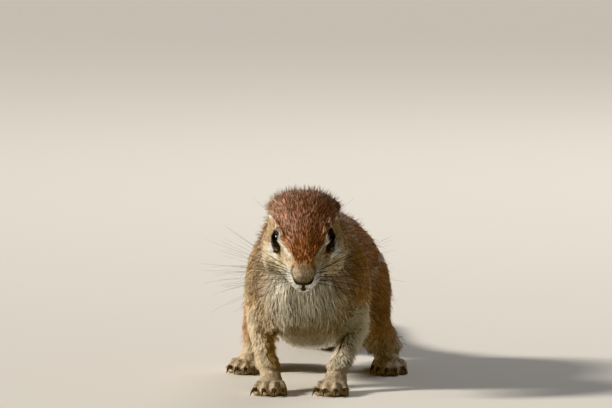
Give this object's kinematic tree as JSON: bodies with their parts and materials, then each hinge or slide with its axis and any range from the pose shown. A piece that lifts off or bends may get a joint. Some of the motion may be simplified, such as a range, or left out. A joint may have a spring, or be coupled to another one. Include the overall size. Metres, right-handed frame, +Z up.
{
  "type": "cape ground squirrel",
  "caption": "Life-size Cape ground squirrel in a low crouch on all fours, head lowered to face forward, bushy tail laid out behind. Still model that stands on its feet.",
  "frame": {"origin": "centre of the bounding box's base, on the floor that the animal stands on", "axes": "+Z up; -Y is the way the animal faces, so +Y runs back along body and tail; +X is the animal's left"},
  "size_m": [0.0832, 0.437, 0.0894],
  "materials": {
    "crown_fur": "short dense fur, russet crown and cream face",
    "back_fur": "short coarse fur, rusty brown with pale ticking, white stripe on each flank",
    "limb_fur": "short cream and buff fur",
    "tail_fur": "long bushy fur banded in white and black",
    "ear": "thinly haired skin",
    "nose": "bare damp skin",
    "eye": "wet and glossy",
    "claw": "dark horn"
  },
  "bodies": {
    "root": {"claw_fore_left_1": "claw", "claw_fore_left_2": "claw", "claw_fore_left_3": "claw", "claw_fore_left_4": "claw", "claw_fore_right_1": "claw", "claw_fore_right_2": "claw", "claw_fore_right_3": "claw", "claw_fore_right_4": "claw", "claw_hind_left_1": "claw", "claw_hind_left_2": "claw", "claw_hind_left_3": "claw", "claw_hind_left_4": "claw", "claw_hind_left_5": "claw", "claw_hind_right_1": "claw", "claw_hind_right_2": "claw", "claw_hind_right_3": "claw", "claw_hind_right_4": "claw", "claw_hind_right_5": "claw", "ear_left": "ear", "ear_right": "ear", "eye_left": "eye", "eye_right": "eye", "foreleg_left": "limb_fur", "foreleg_right": "limb_fur", "forepaw_left": "limb_fur", "forepaw_right": "limb_fur", "head": "crown_fur", "hindfoot_left": "limb_fur", "hindfoot_right": "limb_fur", "hindleg_left": "back_fur", "hindleg_right": "back_fur", "neck": "back_fur", "nose": "nose", "tail_middle": "tail_fur", "tail_root": "tail_fur", "tail_tip": "tail_fur", "trunk": "back_fur"}
  },
  "joints": []
}
